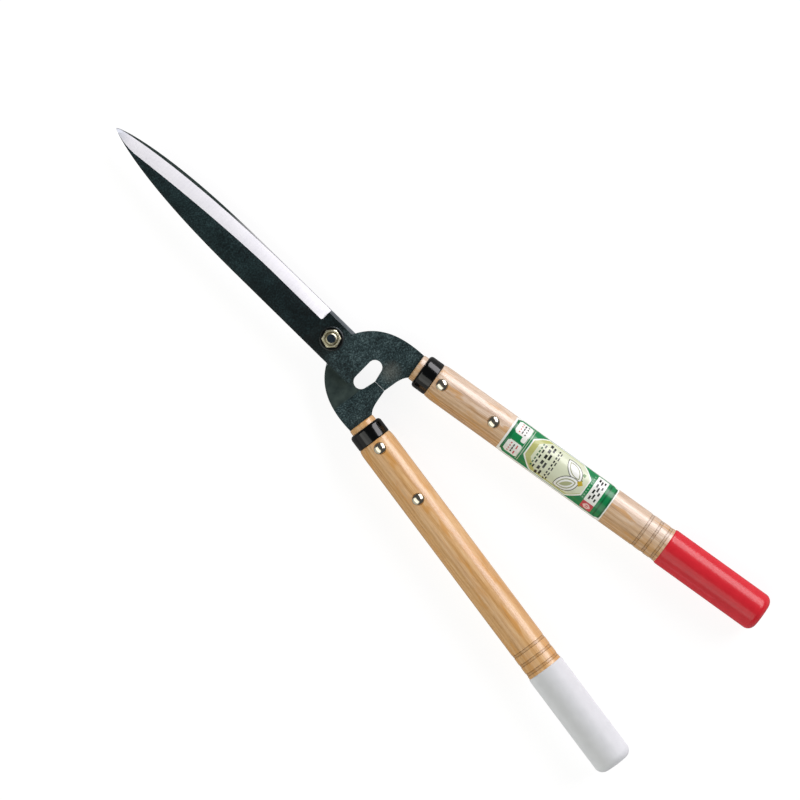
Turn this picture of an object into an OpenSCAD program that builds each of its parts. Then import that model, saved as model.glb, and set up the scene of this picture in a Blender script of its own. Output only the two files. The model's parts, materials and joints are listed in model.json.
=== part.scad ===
// Hedge shears with turned wooden handles.
// Two crossed blade plates turn on one bolt. Each plate carries a lobe and an arm behind the
// bolt, and the arm steps sideways to the middle of the tool, so both stops and both handles
// share one plane. The shears are drawn closed, lying flat on their handles.
// Millimetres, +Y to the tips, +Z to the nut side. The origin is on the floor, under the
// middle of the whole tool.

/* [Blades] */
// Bolt axis to the tips
blade_len = 209.3; // [150:0.1:280]
// Half of the plate width at the bolt
spine_w = 14.4; // [10:0.1:22]
// Half of the blade width on the cutting side
edge_w = 14; // [10:0.1:22]
// Where the back starts to curve in, measured from the bolt
back_from = 72; // [40:1:120]
// Fullness of the back's curve, along and across
back_curve = [2.5, 0.75]; // [0.4:0.01:4]
// Where the cutting edge starts to curve in
edge_from = 34; // [16:1:100]
// Fullness of the cutting edge's curve, along and across
edge_curve = [2.25, 0.77]; // [0.4:0.01:4]
// Plate thickness
plate_t = 4.5; // [3:0.1:7]
// Plate thickness at the tip
tip_t = 2.2; // [1:0.1:4]
// Start of the ground bevel, measured from the bolt
heel_y = 14; // [10:0.5:30]
// Bevel width near the heel
bevel_w = 9.3; // [5:0.1:14]
// Where the bevel starts to widen
ridge_from = 60; // [20:1:120]
// How much the ridge moves over, and over what length
ridge_move = [8.75, 128]; // [4:0.05:180]
// Corner radius where the bevel meets its heel
heel_r = 1.8; // [0.5:0.1:4]
// Thickness left at the cutting edge
edge_land = 0.35; // [0.1:0.05:1]
// Width of the chamfer along the back of the blade
spine_chamfer = 1.2; // [0.3:0.1:2]
// Gap from the middle plane to each plate
face_gap = 0.05; // [0.02:0.01:0.2]

/* [Arms] */
// Side of the plate behind the heel
neck_w = 12; // [9:0.1:14]
// Lower end of each lobe
lobe_y = -30.2; // [-40:0.1:-22]
// Corner radius of each lobe
lobe_r = 1.2; // [0.5:0.1:5]
// Half of the arm width where it enters the wood
arm_half = 9.4; // [6:0.1:9.8]
// Where the sideways step starts, along the handle axis
step_s = 40.4; // [34:0.1:50]
// Length of the sideways step
step_len = 4.5; // [2:0.1:10]
// Radius of the ends of the hanging slot
slot_r = 5.2; // [3:0.1:8]
// Half of the distance between the slot ends' centres
slot_c = 6.9; // [3:0.1:9]
// Top and bottom of the stop faces
stop_y = [-42.3, -51.5]; // [-60:0.1:-36]
// Gap left at the closed stop, each side
stop_gap = 0.05; // [0.02:0.01:0.3]
// Tang width inside the wood
tang_w = 12; // [8:0.5:16]
// End of the tang along the handle axis
tang_end = 140; // [100:1:200]

/* [Handles] */
// Angle of each handle axis to the middle line
half_angle = 8.7; // [4:0.1:16]
// Distance of each handle axis from the bolt
axis_off = 18.6; // [12:0.1:26]
// Steel shoulder, where the wood starts
wood_s = 59; // [50:0.5:75]
// Wood nose diameter in front of the ferrule
nose_d = 19.8; // [14:0.1:24]
// Ferrule start and end
ferrule_s = [63, 74.6]; // [55:0.1:90]
// Ferrule outside diameter
ferrule_d = 25.2; // [20:0.1:32]
// Ferrule bore
ferrule_bore = 22; // [18:0.1:26]
// Turned body diameter
body_d = 26.4; // [22:0.1:34]
// Places of the turned grooves
groove_s = [253.4, 261.5, 269.4]; // [230:0.1:271]
// Depth of a turned groove
groove_depth = 0.7; // [0.2:0.1:1.5]
// Half of the width of a turned groove
groove_half = 1.2; // [0.5:0.1:2]
// Length of the rounded start of the turned body
body_round = 6.5; // [2:0.5:12]
// Grip start and end
grip_s = [272, 355]; // [240:0.5:400]
// Grip outside diameter
grip_d = 27.8; // [24:0.1:36]
// Wood diameter inside the grip
grip_core_d = 25.6; // [20:0.1:30]
// Corner radius of the grip end
grip_r = 6; // [2:0.5:10]
// Label start and end on the right handle
label_s = [136.5, 224]; // [130:0.5:250]
// Angle that the label wraps round the handle
label_wrap = 172; // [60:1:350]
// Label thickness
label_t = 0.25; // [0.1:0.05:0.5]
// Gap inside each glued or pressed fit
glue_gap = 0.02; // [0.01:0.01:0.05]

/* [Fasteners] */
// Bolt diameter
bolt_d = 8; // [6:0.5:12]
// Running clearance around the bolt, on the radius
bolt_fit = 0.05; // [0.02:0.01:0.1]
// Square neck of the bolt
neck_sq = 9; // [8:0.1:12]
// Bolt head diameter and height
bolt_head = [18, 3.6]; // [2:0.1:24]
// Washer outside diameter and thickness
washer = [17.4, 1.6]; // [1:0.1:24]
// Height of the washer's sloped rim
washer_slope = 0.7; // [0.2:0.1:1]
// Nut size across the flats and height
nut = [12, 6.4]; // [4:0.1:20]
// Turn of the nut
nut_turn = 15; // [0:1:60]
// Bolt end past the nut
bolt_proud = 0.3; // [0:0.1:4]
// Rivet places along the handle axis
rivet_s = [81, 125]; // [76:0.5:135]
// Rivet head diameter
rivet_head = 8.5; // [5:0.1:12]
// Rivet shank diameter
rivet_d = 4; // [3:0.1:6]
// Height of the rivet domes, nut side and back
rivet_dome = [2, 1.2]; // [0.5:0.1:3]

/* [Hidden] */
$fn = 96;

axis_x = axis_off * cos(half_angle);
axis_y = axis_off * sin(half_angle);
low_y = axis_y - grip_s[1] * cos(half_angle) - (grip_d / 2 - grip_r) * sin(half_angle);
corner_low = low_y + grip_r * cos(half_angle) - grip_r;
mid_y = (blade_len + corner_low) / 2;
lie_z = grip_d / 2;
seat_z = body_d / 2 - 0.8;
stations = 40;
tip_y = blade_len + 0.2;
chamfer_drop = 0.7;
// Near the tip the ridge keeps to a share of the back's half width, which grows from share_y on.
ridge_share = [0.72, 0.9];
share_y = 192;
share_rate = 0.02;
// Control points of the arm's two sides: the inner ones are measured from the stop's lower end.
inner_side = [[4, -0.7], [9, -1.6], [14.5, -2]];
outer_side = [[36, -28], [26, -14.6], [neck_w, -8.1]];
slot_sweep = [90, -70];

steel = [0.22, 0.26, 0.26];
ground = [0.85, 0.85, 0.9];
nickel = [0.82, 0.79, 0.7];
black = [0.06, 0.06, 0.07];
oak = [0.8, 0.66, 0.5];
red = [0.8, 0.13, 0.18];
white = [0.85, 0.85, 0.84];
green = [0.08, 0.5, 0.3];

// Half width of the back of the blade, and the cutting edge and bevel ridge, at y.
function back_x(y) = y < back_from ? spine_w
    : spine_w * pow(1 - pow((y - back_from) / (tip_y - back_from), back_curve[0]), back_curve[1]);
function edge_x(y) = y < edge_from ? edge_w
    : edge_w * pow(1 - pow((y - edge_from) / (tip_y - edge_from), edge_curve[0]), edge_curve[1]);
function ridge_free(y) = edge_w - bevel_w
    - (y < ridge_from ? 0 : ridge_move[0] * pow((y - ridge_from) / ridge_move[1], 1.6));
function tip_share(y) = min(ridge_share[1], ridge_share[0] + share_rate * max(0, y - share_y));
function ridge_x(y) = max(ridge_free(y), -back_x(y) * tip_share(y));
function chamfer_at(y) = min(spine_chamfer, back_x(y) / 12);
function top_z(y) = face_gap + plate_t - (plate_t - tip_t) * max(0, y - heel_y) / (blade_len - heel_y);

function bezier(p, n) = [for (i = [0:n]) let (t = i / n)
    pow(1 - t, 3) * p[0] + 3 * t * pow(1 - t, 2) * p[1] + 3 * t * t * (1 - t) * p[2] + t * t * t * p[3]];
function arc(c, r, a0, a1, n) = [for (i = [0:n]) let (a = a0 + (a1 - a0) * i / n)
    [c[0] + r * cos(a), c[1] + r * sin(a)]];
// A point given along the right handle axis and out from it.
function on_axis(s, n) = [
    axis_x + s * sin(half_angle) + n * cos(half_angle),
    axis_y - s * cos(half_angle) + n * sin(half_angle)
];

// One cross-section of the ground blade, from the cutting edge round to the back.
function blade_section(y) = let (e = edge_x(y), r = ridge_x(y), w = back_x(y))
    let (z = top_z(y), c = chamfer_at(y)) [
    [e, y, face_gap],
    [e, y, face_gap + edge_land],
    [r, y, z],
    [c - w, y, z],
    [-w, y, z - c * chamfer_drop],
    [-w, y, face_gap]
];
function station_y(i) = heel_y + (blade_len - heel_y) * (1 - pow(1 - i / stations, 1.5));

module place() {
    translate([0, -mid_y, lie_z]) children();
}

// Local +Z runs down the handle axis, local +Y faces the nut side.
module on_right_handle() {
    place() translate([axis_x, axis_y, 0]) rotate([0, 0, half_angle]) rotate([90, 0, 0]) children();
}

module on_left_handle() {
    place() mirror([1, 0, 0]) translate([axis_x, axis_y, 0]) rotate([0, 0, half_angle])
        rotate([90, 0, 0]) children();
}

module ground_blade() {
    pts = [for (i = [0:stations]) each blade_section(station_y(i))];
    sides = [for (i = [0:stations - 1]) for (j = [0:5]) let (k = (j + 1) % 6)
        each [[6 * i + j, 6 * i + k, 6 * i + 6 + k], [6 * i + j, 6 * i + 6 + k, 6 * i + 6 + j]]];
    last = 6 * stations;
    polyhedron(points = pts, faces = concat(
        [[5, 4, 3, 2, 1, 0]],
        sides,
        [[last, last + 1, last + 2, last + 3, last + 4, last + 5]]
    ));
}

// Plate outline behind the heel: lobe, slot end, stop, arm and hip.
module arm_plan() {
    polygon(concat(
        [[-spine_w, heel_y]],
        arc([lobe_r - spine_w, lobe_y + lobe_r], lobe_r, 180, 270, 4),
        arc([slot_c, lobe_y - slot_r], slot_r, slot_sweep[0], slot_sweep[1], 14),
        [[stop_gap, stop_y[0]], [stop_gap, stop_y[1]]],
        bezier(concat([for (p = inner_side) p + [0, stop_y[1]]], [on_axis(wood_s, -arm_half)]), 8),
        bezier(concat([on_axis(wood_s, arm_half)], outer_side), 28),
        [[neck_w, heel_y]]
    ));
}

// Side view of the plate along the handle axis, with the sideways step.
module step_profile() {
    high = face_gap + plate_t;
    mid = plate_t / 2;
    polygon([
        [-70, face_gap], [step_s, face_gap], [step_s + step_len, -mid], [tang_end + 5, -mid],
        [tang_end + 5, mid], [step_s + step_len, mid], [step_s, high], [-70, high]
    ]);
}

// Rounded inner corner between the bevel ridge and its heel.
module heel_corner() {
    linear_extrude(height = plate_t - 0.03) difference() {
        translate([-0.5, -0.5]) square(heel_r + 0.5);
        translate([heel_r, heel_r]) circle(r = heel_r);
    }
}

module half_plate() {
    difference() {
        intersection() {
            translate([0, 0, -10]) linear_extrude(height = 20) arm_plan();
            translate([axis_x, axis_y, 0]) rotate([0, 0, half_angle - 90]) rotate([90, 0, 0])
                linear_extrude(height = 200, center = true) step_profile();
        }
        translate([-spine_w, heel_y + 1, face_gap + plate_t]) rotate([90, 0, 0])
            linear_extrude(height = 60)
                polygon([[-1, 1], [-1, -chamfer_drop * (spine_chamfer + 1)],
                    [0, -chamfer_drop * spine_chamfer], [spine_chamfer, 0], [spine_chamfer, 1]]);
    }
    ground_blade();
    translate([edge_w - bevel_w, heel_y, face_gap]) heel_corner();
    difference() {
        translate([axis_x, axis_y, 0]) rotate([0, 0, half_angle])
            translate([-tang_w / 2, -tang_end, -plate_t / 2]) cube([tang_w, tang_end - wood_s + 2, plate_t]);
        for (s = rivet_s)
            translate([on_axis(s, 0)[0], on_axis(s, 0)[1], -10]) cylinder(d = rivet_d + 0.1, h = 20);
    }
}

module front_blade() {
    color(steel) place() difference() {
        half_plate();
        translate([0, 0, -10]) cylinder(d = bolt_d + 2 * bolt_fit, h = 20);
    }
}

module rear_blade() {
    color(steel) place() difference() {
        rotate([0, 180, 0]) half_plate();
        translate([0, 0, -5]) cube([neck_sq + 0.1, neck_sq + 0.1, 20], center = true);
    }
}

// Domed head behind the rear plate, square neck in it, plain shank through the front plate.
module pivot_bolt() {
    back = -face_gap - plate_t;
    end = face_gap + plate_t + washer[1] + nut[1] + bolt_proud;
    dome_r = (pow(bolt_head[0] / 2, 2) + pow(bolt_head[1] - 0.8, 2)) / (2 * (bolt_head[1] - 0.8));
    color(nickel) place() {
        translate([0, 0, back]) rotate([180, 0, 0]) {
            cylinder(d = bolt_head[0], h = 0.8);
            intersection() {
                cylinder(d = bolt_head[0], h = bolt_head[1] + 1);
                translate([0, 0, bolt_head[1] - dome_r]) sphere(r = dome_r);
            }
        }
        translate([-neck_sq / 2, -neck_sq / 2, back]) cube([neck_sq, neck_sq, plate_t - 0.2]);
        translate([0, 0, back]) cylinder(d = bolt_d, h = end - back - 0.9);
        translate([0, 0, end - 0.9]) cylinder(d1 = bolt_d, d2 = bolt_d - 1.6, h = 0.9);
    }
}

module pivot_washer() {
    color(black) place() translate([0, 0, face_gap + plate_t]) difference() {
        union() {
            cylinder(d = washer[0], h = washer[1] - washer_slope);
            translate([0, 0, washer[1] - washer_slope])
                cylinder(d1 = washer[0], d2 = washer[0] - 3 * washer_slope, h = washer_slope);
        }
        translate([0, 0, -1]) cylinder(d = bolt_d + 0.6, h = 5);
    }
}

module pivot_nut() {
    corner = nut[0] / cos(30);
    color(nickel) place() translate([0, 0, face_gap + plate_t + washer[1]]) difference() {
        intersection() {
            rotate([0, 0, nut_turn]) cylinder(d = corner, h = nut[1], $fn = 6);
            union() {
                cylinder(d1 = corner - 1.6, d2 = corner + 0.4, h = 0.7);
                translate([0, 0, 0.7]) cylinder(d = corner + 0.4, h = nut[1] - 1.6);
                translate([0, 0, nut[1] - 0.9]) cylinder(d1 = corner + 0.4, d2 = corner - 2.2, h = 0.9);
            }
        }
        translate([0, 0, -1]) cylinder(d = bolt_d + 2 * bolt_fit, h = 10);
        translate([0, 0, nut[1] - 0.7]) cylinder(d1 = bolt_d, d2 = bolt_d + 1.6, h = 0.8);
    }
}

// Turned outline of the wood: nose, ferrule seat, body, grooves, core of the grip.
function wood_outline() = concat(
    [[0, wood_s], [nose_d / 2 - 1, wood_s], [nose_d / 2, wood_s + 0.8], [nose_d / 2, ferrule_s[0] + 1.2],
        [ferrule_bore / 2, ferrule_s[0] + 1.2], [ferrule_bore / 2, ferrule_s[1]],
        [body_d / 2 - 1, ferrule_s[1]]],
    [for (i = [1:4]) [body_d / 2 - 1 + sin(i * 22.5), ferrule_s[1] + body_round * (1 - cos(i * 22.5))]],
    [for (g = groove_s) for (i = [-2:2])
        [body_d / 2 - groove_depth * (1 - i * i / 4), g + i * groove_half / 2]],
    [[body_d / 2, grip_s[0]], [grip_core_d / 2, grip_s[0]], [grip_core_d / 2, grip_s[1] - 5],
        [grip_core_d / 2 - 3.6, grip_s[1] - 1.5], [0, grip_s[1] - 1.5]]
);

module rivet_seats() {
    for (s = rivet_s) translate([0, 0, s]) for (side = [-90, 90]) rotate([side, 0, 0])
        translate([0, 0, seat_z]) cylinder(d = rivet_head + 0.2, h = 10);
    for (s = rivet_s) translate([0, 0, s]) rotate([90, 0, 0])
        cylinder(d = rivet_d + 0.1, h = 60, center = true);
}

module wood() {
    difference() {
        rotate_extrude() polygon(wood_outline());
        translate([-tang_w / 2 - 0.05, -plate_t / 2 - 0.05, wood_s - 5])
            cube([tang_w + 0.1, plate_t + 0.1, tang_end - wood_s + 5.4]);
        rivet_seats();
    }
}

module left_handle() {
    color(oak) on_left_handle() wood();
}

module right_handle() {
    color(oak) on_right_handle() wood();
}

module ferrule() {
    lip = 2.6;
    rotate_extrude() polygon(concat(
        [[nose_d / 2 + glue_gap, ferrule_s[0] + 1.2 - glue_gap], [nose_d / 2 + glue_gap, ferrule_s[0] + 0.2]],
        [for (i = [0:6]) [ferrule_d / 2 - lip + lip * sin(i * 15), ferrule_s[0] + lip * (1 - cos(i * 15))]],
        [[ferrule_d / 2, ferrule_s[1] - 0.9], [ferrule_d / 2 - 0.6, ferrule_s[1] - glue_gap],
            [ferrule_bore / 2 + glue_gap, ferrule_s[1] - glue_gap],
            [ferrule_bore / 2 + glue_gap, ferrule_s[0] + 1.2 - glue_gap]]
    ));
}

module left_ferrule() {
    color(black) on_left_handle() ferrule();
}

module right_ferrule() {
    color(black) on_right_handle() ferrule();
}

// One pin through the wood and the tang, with a dome at each end.
module rivet(s) {
    translate([0, 0, s]) {
        rotate([90, 0, 0]) cylinder(d = rivet_d, h = 2 * seat_z + 0.2, center = true);
        rotate([-90, 0, 0]) rivet_end(rivet_dome[0]);
        rotate([90, 0, 0]) rivet_end(rivet_dome[1]);
    }
}

module rivet_end(rise) {
    r = (pow(rivet_head / 2, 2) + pow(rise, 2)) / (2 * rise);
    intersection() {
        translate([0, 0, seat_z + glue_gap]) cylinder(d = rivet_head, h = 5);
        translate([0, 0, seat_z + glue_gap + rise - r]) sphere(r = r);
    }
}

module left_rivet_upper() {
    color(nickel) on_left_handle() rivet(rivet_s[0]);
}

module left_rivet_lower() {
    color(nickel) on_left_handle() rivet(rivet_s[1]);
}

module right_rivet_upper() {
    color(nickel) on_right_handle() rivet(rivet_s[0]);
}

module right_rivet_lower() {
    color(nickel) on_right_handle() rivet(rivet_s[1]);
}

// Dipped sleeve: a thin tube with a closed, rounded end.
module grip() {
    inner = grip_core_d / 2 + glue_gap;
    rotate_extrude() polygon(concat(
        [[inner, grip_s[0] + glue_gap], [grip_d / 2 - 0.9, grip_s[0] + glue_gap],
            [grip_d / 2 - 0.3, grip_s[0] + 0.8], [grip_d / 2, grip_s[0] + 2]],
        [for (i = [0:8]) let (a = i * 11.25)
            [grip_d / 2 - grip_r + grip_r * cos(a), grip_s[1] - grip_r + grip_r * sin(a)]],
        [[0, grip_s[1]], [0, grip_s[1] - 1.5 + glue_gap], [inner - 3.6, grip_s[1] - 1.5 + glue_gap],
            [inner, grip_s[1] - 5 + glue_gap]]
    ));
}

module left_grip() {
    color(white) on_left_handle() grip();
}

module right_grip() {
    color(red) on_right_handle() grip();
}

module label() {
    color(green) on_right_handle() rotate([0, 0, 90 - label_wrap / 2]) rotate_extrude(angle = label_wrap)
        translate([body_d / 2 + glue_gap, label_s[0]]) square([label_t, label_s[1] - label_s[0]]);
}

front_blade();
rear_blade();
pivot_bolt();
pivot_nut();
pivot_washer();
left_handle();
right_handle();
left_ferrule();
right_ferrule();
left_rivet_upper();
left_rivet_lower();
right_rivet_upper();
right_rivet_lower();
left_grip();
right_grip();
label();
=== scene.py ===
"""Hedge shears with two turned wooden handles, lying closed on a glowing white floor."""

import json
import math

import bpy
from mathutils import Matrix, Vector


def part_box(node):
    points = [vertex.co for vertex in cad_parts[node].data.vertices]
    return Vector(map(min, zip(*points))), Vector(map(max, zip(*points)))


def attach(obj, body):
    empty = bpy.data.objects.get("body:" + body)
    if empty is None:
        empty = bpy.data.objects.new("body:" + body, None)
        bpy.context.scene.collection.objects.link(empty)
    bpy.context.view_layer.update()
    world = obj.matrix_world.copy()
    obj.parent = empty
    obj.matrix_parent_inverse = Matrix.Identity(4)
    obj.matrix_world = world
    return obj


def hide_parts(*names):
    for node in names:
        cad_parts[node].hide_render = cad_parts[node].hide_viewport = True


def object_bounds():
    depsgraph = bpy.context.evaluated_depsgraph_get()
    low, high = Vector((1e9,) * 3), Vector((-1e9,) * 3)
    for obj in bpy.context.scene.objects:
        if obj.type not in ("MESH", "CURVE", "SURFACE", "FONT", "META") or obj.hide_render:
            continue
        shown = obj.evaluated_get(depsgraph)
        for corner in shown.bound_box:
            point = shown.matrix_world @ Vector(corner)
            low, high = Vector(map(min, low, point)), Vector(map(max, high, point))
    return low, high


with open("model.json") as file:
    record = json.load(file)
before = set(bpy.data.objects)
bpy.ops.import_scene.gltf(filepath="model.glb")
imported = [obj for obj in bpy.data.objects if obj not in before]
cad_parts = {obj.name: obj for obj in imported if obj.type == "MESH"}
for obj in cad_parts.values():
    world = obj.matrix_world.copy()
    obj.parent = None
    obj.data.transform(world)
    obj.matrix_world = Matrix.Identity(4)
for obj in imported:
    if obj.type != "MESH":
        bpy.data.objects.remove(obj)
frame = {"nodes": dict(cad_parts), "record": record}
cad_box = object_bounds()
record = frame["record"]

MM = 0.001
UP = Vector((0, 0, 1))
SIDES = ("left", "right")
RIVETS = ("upper", "lower")

# ------------------------------------------------------------------ places, from the frame
pivot = Vector(record["behaviour"]["joints"][0]["pos_m"])
MOUNTS = {mount["name"]: mount for mount in record["mounts"]}


def handle_frame(mount):
    """Local +Z runs down the handle from beside the bolt, +Y is up and +X points to the red side."""
    point = Vector(mount["pos_m"])
    along = Vector(mount["axis"]).normalized()
    foot = point - along * (point - pivot).dot(along)
    across = UP.cross(along)
    return Matrix.Translation(foot) @ Matrix((across, UP, along)).transposed().to_4x4()


HANDLE = {side: handle_frame(MOUNTS[side + "_grip_end"]) for side in SIDES}


def reach(node, side):
    """Start, end and largest radius of a CAD node on its handle's axis, in millimetres."""
    inverse = HANDLE[side].inverted()
    points = [inverse @ vertex.co for vertex in frame["nodes"][node].data.vertices]
    radius = max(math.hypot(point.x, point.y) for point in points)
    return min(point.z for point in points) / MM, max(point.z for point in points) / MM, radius / MM


# ------------------------------------------------------------------ workshop
def make_active(piece):
    """Selects one piece alone, because an operator acts on all that is selected."""
    bpy.ops.object.select_all(action="DESELECT")
    piece.select_set(True)
    bpy.context.view_layer.objects.active = piece


def turn(name, rings, segments=96, hollow=False):
    """A piece turned on its own +Z: one circle, extruded and scaled through (along, radius) in mm.

    The rings of a hollow piece go round its wall and end where they start."""
    bpy.ops.object.select_all(action="DESELECT")
    start, first = rings[0]
    bpy.ops.mesh.primitive_circle_add(
        vertices=segments,
        radius=first * MM,
        fill_type="NOTHING" if hollow else "NGON",
        location=(0, 0, start * MM),
    )
    piece = bpy.context.object
    piece.name = name
    bpy.ops.object.transform_apply()
    bpy.ops.object.mode_set(mode="EDIT")
    bpy.ops.mesh.select_all(action="SELECT")
    for (low, inner), (high, outer) in zip(rings, rings[1:]):
        bpy.ops.mesh.extrude_region_move(TRANSFORM_OT_translate={"value": (0, 0, (high - low) * MM)})
        grow = outer / inner
        bpy.ops.transform.resize(value=(grow, grow, 1), center_override=(0, 0, high * MM))
    bpy.ops.mesh.select_all(action="SELECT")
    bpy.ops.mesh.remove_doubles(threshold=0.002 * MM)
    bpy.ops.mesh.normals_make_consistent(inside=False)
    bpy.ops.object.mode_set(mode="OBJECT")
    return piece


def arc(centre, radius, start, end, steps):
    """Rings (along, radius) on part of a circle; angles in degrees, 0 outwards and 90 up the axis."""
    angles = [math.radians(start + (end - start) * i / steps) for i in range(steps + 1)]
    return [(centre[0] + radius * math.sin(a), centre[1] + radius * math.cos(a)) for a in angles]


def settle(piece, matrix):
    """Moves the piece's mesh, and leaves its object at the origin."""
    make_active(piece)
    piece.matrix_world = matrix
    bpy.ops.object.transform_apply(location=True, rotation=True, scale=True)


def modify(piece, kind, **settings):
    """Adds a modifier of this kind with its settings, and applies it."""
    make_active(piece)
    modifier = piece.modifiers.new(kind.title(), kind)
    for key, value in settings.items():
        setattr(modifier, key, value)
    bpy.ops.object.modifier_apply(modifier=modifier.name)


def copy_of(node, name):
    """A merged copy of a CAD node, its flat areas made whole."""
    make_active(frame["nodes"][node])
    bpy.ops.object.duplicate()
    piece = bpy.context.object
    piece.name = name
    piece.parent = None
    piece.data.materials.clear()
    bpy.ops.object.mode_set(mode="EDIT")
    bpy.ops.mesh.select_all(action="SELECT")
    bpy.ops.mesh.remove_doubles(threshold=0.004 * MM)
    bpy.ops.mesh.dissolve_limited(angle_limit=math.radians(0.4))
    bpy.ops.mesh.normals_make_consistent(inside=False)
    bpy.ops.object.mode_set(mode="OBJECT")
    return piece


def finish_piece(piece, angle, finishes, body, slot, *nodes):
    """Smooth shading under the angle, the finishes, and the body that the piece hangs from."""
    make_active(piece)
    bpy.ops.object.shade_smooth_by_angle(angle=math.radians(angle))
    for finish in finishes:
        piece.data.materials.append(finish)
    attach(piece, body)
    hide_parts(*nodes)


# ------------------------------------------------------------------ finishes
def linear(colour):
    """An sRGB hex colour as linear RGBA."""
    channels = [int(colour[i : i + 2], 16) / 255 for i in (1, 3, 5)]
    return [c / 12.92 if c <= 0.04045 else ((c + 0.055) / 1.055) ** 2.4 for c in channels] + [1]


def add(tree, kind, inputs=None, stops=None, **settings):
    """A node with its settings and inputs: each input is a value, a hex colour, a node or its output."""
    node = tree.nodes.new(kind)
    for key, value in settings.items():
        setattr(node, key, value)
    for key, value in (inputs or {}).items():
        if isinstance(value, tuple) and isinstance(value[0], bpy.types.Node):
            value = value[0].outputs[value[1]]
        if isinstance(value, bpy.types.Node):
            value = value.outputs[0]
        if isinstance(value, bpy.types.NodeSocket):
            tree.links.new(value, node.inputs[key])
        else:
            node.inputs[key].default_value = linear(value) if isinstance(value, str) else value
    for i, (position, colour) in enumerate(stops or []):
        if i >= len(node.color_ramp.elements):
            node.color_ramp.elements.new(position)
        node.color_ramp.elements[i].position = position
        node.color_ramp.elements[i].color = linear(colour)
    return node


def finish_named(name):
    """An empty material, its node tree, and Object coordinates to start from."""
    made = bpy.data.materials.new(name)
    made.use_nodes = True
    made.node_tree.nodes.clear()
    return made, made.node_tree, (add(made.node_tree, "ShaderNodeTexCoord"), "Object")


def surface(tree, inputs):
    """The Principled shader and the output that it feeds."""
    shader = add(tree, "ShaderNodeBsdfPrincipled", inputs)
    add(tree, "ShaderNodeOutputMaterial", {"Surface": shader})


def blackened_steel():
    """Oil-blackened forged plate, finely grainy; a painted reflection lightens the arms, a painted
    highlight the slot's side.
    """
    made, tree, place = finish_named("blackened_forged_steel")
    here = add(tree, "ShaderNodeMapping", {"Vector": place, "Location": pivot, "Scale": (MM, MM, MM)},
               vector_type="TEXTURE")
    grain = add(tree, "ShaderNodeTexNoise", {
        "Vector": here, "Scale": 1.0, "Detail": 3.0, "Roughness": 0.6})
    patch = add(tree, "ShaderNodeTexNoise", {
        "Vector": here, "Scale": 1 / 12, "Detail": 4.0, "Roughness": 0.6})
    tone = add(tree, "ShaderNodeMix", {0: 0.3, 2: grain, 3: patch}, data_type="FLOAT")
    # painted reflection: the arms' tones are lighter than the blade's
    arm_tone_with_reflection = add(tree, "ShaderNodeValToRGB", {"Fac": tone}, stops=[
        (0.36, "#0b1517"), (0.46, "#202f31"), (0.54, "#2f4144"), (0.64, "#576a6b")])
    by_bolt = add(tree, "ShaderNodeValToRGB", {"Fac": tone}, stops=[
        (0.36, "#010607"), (0.5, "#071416"), (0.64, "#172a2d")])
    tip = add(tree, "ShaderNodeValToRGB", {"Fac": tone}, stops=[
        (0.36, "#061113"), (0.5, "#132426"), (0.64, "#2a3f41")])
    along = (add(tree, "ShaderNodeSeparateXYZ", {"Vector": here}), "Y")
    past_bolt = add(tree, "ShaderNodeMapRange", {"Value": along, "From Min": -12, "From Max": 5})
    up_blade = add(tree, "ShaderNodeMapRange", {"Value": along, "From Min": 20, "From Max": 100})
    blade_tone = add(tree, "ShaderNodeMix", {0: up_blade, 6: by_bolt, 7: tip}, data_type="RGBA")
    skin = add(tree, "ShaderNodeMix", {0: past_bolt, 6: arm_tone_with_reflection, 7: (blade_tone, 2)}, data_type="RGBA")
    tip_bare = add(tree, "ShaderNodeMapRange", {"Value": along, "From Min": 204, "From Max": 206.5})
    point = add(tree, "ShaderNodeMix", {0: tip_bare, 6: (skin, 2), 7: "#b9bcc2"}, data_type="RGBA")
    # painted highlight: the plate beside the slot is lightened to pale grey, most near its middle
    far = (add(tree, "ShaderNodeVectorMath", {0: here, 1: (12, -45, 0)}, operation="DISTANCE"), "Value")
    slot_sheen_fade = add(tree, "ShaderNodeMapRange", {"Value": far, "From Min": 10, "From Max": 2, "To Max": 0.8})
    painted_slot_sheen = add(tree, "ShaderNodeMath", {0: slot_sheen_fade, 1: grain}, operation="MULTIPLY")
    colour = add(tree, "ShaderNodeMix", {0: painted_slot_sheen, 6: (point, 2), 7: "#7d8079"}, data_type="RGBA")
    rough = add(tree, "ShaderNodeMapRange", {"Value": grain, "To Min": 0.4, "To Max": 0.62})
    relief = add(tree, "ShaderNodeBump", {"Strength": 0.3, "Distance": 0.12 * MM, "Height": grain})
    surface(tree, {"Base Color": (colour, 2), "Metallic": 0.1, "Roughness": rough, "Normal": relief,
                   "Specular IOR Level": 0.2})
    return made


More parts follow.
